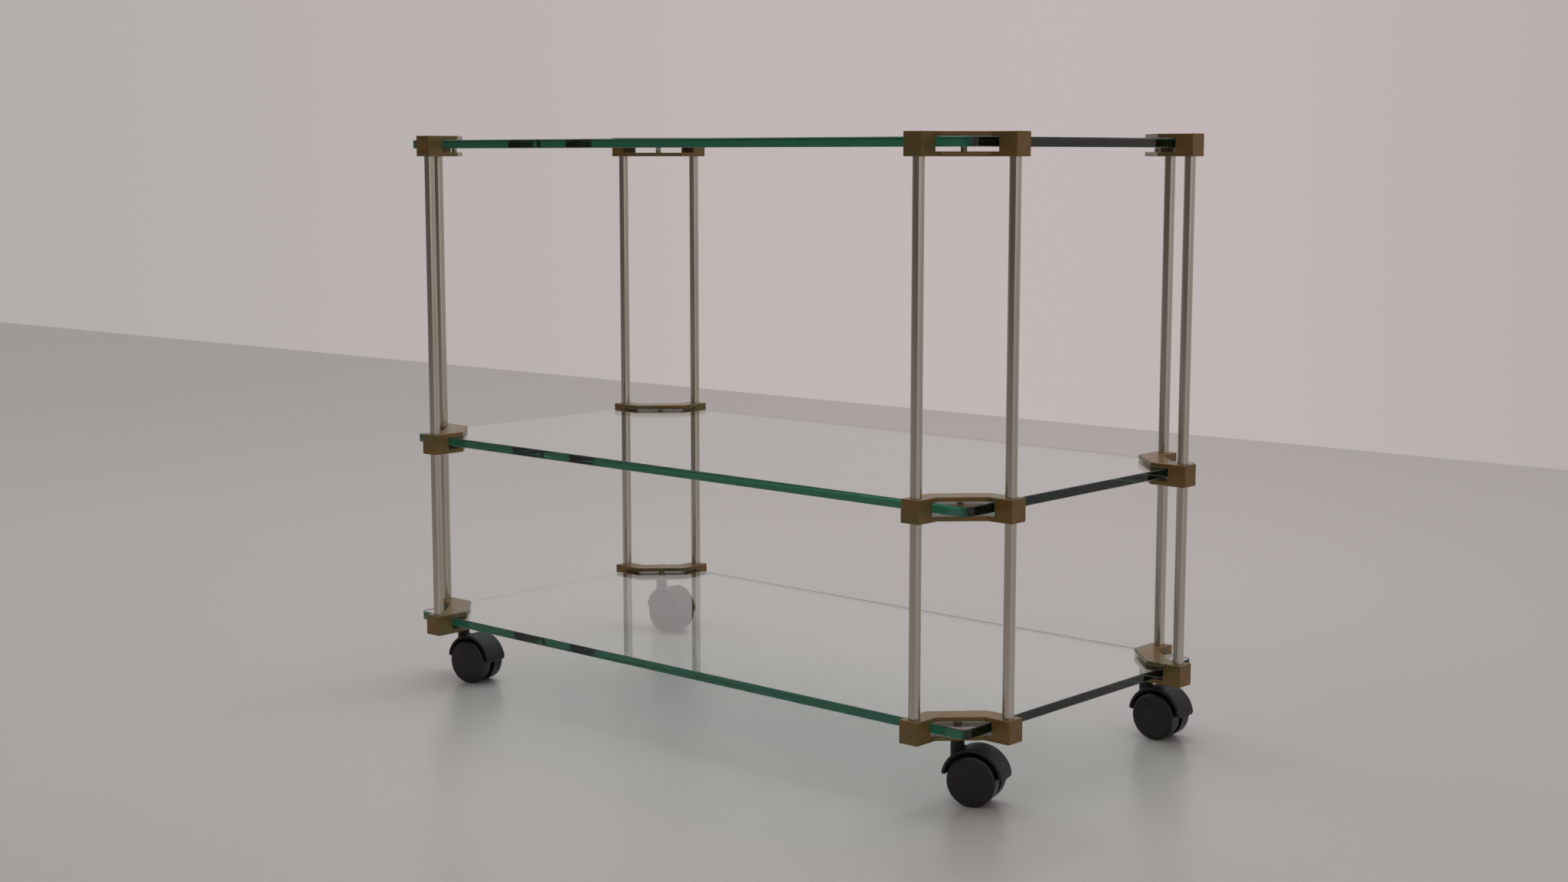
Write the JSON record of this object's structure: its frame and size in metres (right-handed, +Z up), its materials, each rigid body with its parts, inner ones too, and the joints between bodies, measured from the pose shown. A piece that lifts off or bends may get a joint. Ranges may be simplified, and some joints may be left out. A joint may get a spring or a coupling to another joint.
{
  "type": "dessert trolley",
  "caption": "Low trolley with glass shelves held at their corners by cast brackets on paired round posts, rolling on swivelling twin-wheel casters.",
  "frame": {"origin": "on the floor, under the centre of the shelves", "axes": "+X along the long side, +Y towards the back (the front edge is at -Y), +Z up"},
  "size_m": [0.897, 0.469, 0.6713],
  "materials": {
    "glass": "clear plate glass with polished green edges",
    "bronze": "cast brass, patinated brown, satin",
    "satin_metal": "satin nickel",
    "steel": "plain steel",
    "clear_pad": "clear soft plastic film",
    "nylon": "natural nylon",
    "wheel_plastic": "black moulded nylon, slight gloss",
    "housing_plastic": "black moulded plastic, satin"
  },
  "bodies": {
    "frame": {"bracket_bottom_back_left": "bronze", "bracket_bottom_back_right": "bronze", "bracket_bottom_front_left": "bronze", "bracket_bottom_front_right": "bronze", "bracket_middle_back_left": "bronze", "bracket_middle_back_right": "bronze", "bracket_middle_front_left": "bronze", "bracket_middle_front_right": "bronze", "bracket_top_back_left": "bronze", "bracket_top_back_right": "bronze", "bracket_top_front_left": "bronze", "bracket_top_front_right": "bronze", "caster_stem_back_left": "steel", "caster_stem_back_right": "steel", "caster_stem_front_left": "steel", "caster_stem_front_right": "steel", "clamp_screws_middle": "steel", "clamp_screws_top": "steel", "grub_screws_bottom": "steel", "grub_screws_middle": "steel", "grub_screws_top": "steel", "jaw_pads_bottom": "clear_pad", "jaw_pads_middle": "clear_pad", "jaw_pads_top": "clear_pad", "post_back_left_long": "satin_metal", "post_back_left_short": "satin_metal", "post_back_right_long": "satin_metal", "post_back_right_short": "satin_metal", "post_front_left_long": "satin_metal", "post_front_left_short": "satin_metal", "post_front_right_long": "satin_metal", "post_front_right_short": "satin_metal", "screw_tips_bottom": "nylon", "screw_tips_middle": "nylon", "screw_tips_top": "nylon", "shelf_glass_bottom": "glass", "shelf_glass_middle": "glass", "shelf_glass_top": "glass", "thrust_washers": "steel"},
    "caster_front_left": {"caster_housing_front_left": "housing_plastic", "caster_axle_front_left": "steel"},
    "wheel_front_left_a": {"caster_wheel_front_left_a": "wheel_plastic"},
    "wheel_front_left_b": {"caster_wheel_front_left_b": "wheel_plastic"},
    "caster_front_right": {"caster_housing_front_right": "housing_plastic", "caster_axle_front_right": "steel"},
    "wheel_front_right_a": {"caster_wheel_front_right_a": "wheel_plastic"},
    "wheel_front_right_b": {"caster_wheel_front_right_b": "wheel_plastic"},
    "caster_back_right": {"caster_housing_back_right": "housing_plastic", "caster_axle_back_right": "steel"},
    "wheel_back_right_a": {"caster_wheel_back_right_a": "wheel_plastic"},
    "wheel_back_right_b": {"caster_wheel_back_right_b": "wheel_plastic"},
    "caster_back_left": {"caster_housing_back_left": "housing_plastic", "caster_axle_back_left": "steel"},
    "wheel_back_left_a": {"caster_wheel_back_left_a": "wheel_plastic"},
    "wheel_back_left_b": {"caster_wheel_back_left_b": "wheel_plastic"}
  },
  "joints": [
    {"name": "swivel_front_left", "type": "hinge", "parent": "frame", "child": "caster_front_left", "pos_m": [-0.3875, -0.1735, 0.0658], "axis": [0, 0, 1], "continuous": true},
    {"name": "roll_front_left_a", "type": "hinge", "parent": "caster_front_left", "child": "wheel_front_left_a", "pos_m": [-0.36726, -0.17026, 0.026], "axis": [-0.1582, 0.9874, 0], "continuous": true},
    {"name": "roll_front_left_b", "type": "hinge", "parent": "caster_front_left", "child": "wheel_front_left_b", "pos_m": [-0.36726, -0.17026, 0.026], "axis": [-0.1582, 0.9874, 0], "continuous": true},
    {"name": "swivel_front_right", "type": "hinge", "parent": "frame", "child": "caster_front_right", "pos_m": [0.3875, -0.1735, 0.0658], "axis": [0, 0, 1], "continuous": true},
    {"name": "roll_front_right_a", "type": "hinge", "parent": "caster_front_right", "child": "wheel_front_right_a", "pos_m": [0.40703, -0.16727, 0.026], "axis": [-0.304, 0.9527, 0], "continuous": true},
    {"name": "roll_front_right_b", "type": "hinge", "parent": "caster_front_right", "child": "wheel_front_right_b", "pos_m": [0.40703, -0.16727, 0.026], "axis": [-0.304, 0.9527, 0], "continuous": true},
    {"name": "swivel_back_right", "type": "hinge", "parent": "frame", "child": "caster_back_right", "pos_m": [0.3875, 0.1735, 0.0658], "axis": [0, 0, 1], "continuous": true},
    {"name": "roll_back_right_a", "type": "hinge", "parent": "caster_back_right", "child": "wheel_back_right_a", "pos_m": [0.40799, 0.174, 0.026], "axis": [-0.0244, 0.9997, 0], "continuous": true},
    {"name": "roll_back_right_b", "type": "hinge", "parent": "caster_back_right", "child": "wheel_back_right_b", "pos_m": [0.40799, 0.174, 0.026], "axis": [-0.0244, 0.9997, 0], "continuous": true},
    {"name": "swivel_back_left", "type": "hinge", "parent": "frame", "child": "caster_back_left", "pos_m": [-0.3875, 0.1735, 0.0658], "axis": [0, 0, 1], "continuous": true},
    {"name": "roll_back_left_a", "type": "hinge", "parent": "caster_back_left", "child": "wheel_back_left_a", "pos_m": [-0.36708, 0.17171, 0.026], "axis": [0.0872, 0.9962, 0], "continuous": true},
    {"name": "roll_back_left_b", "type": "hinge", "parent": "caster_back_left", "child": "wheel_back_left_b", "pos_m": [-0.36708, 0.17171, 0.026], "axis": [0.0872, 0.9962, 0], "continuous": true}
  ]
}
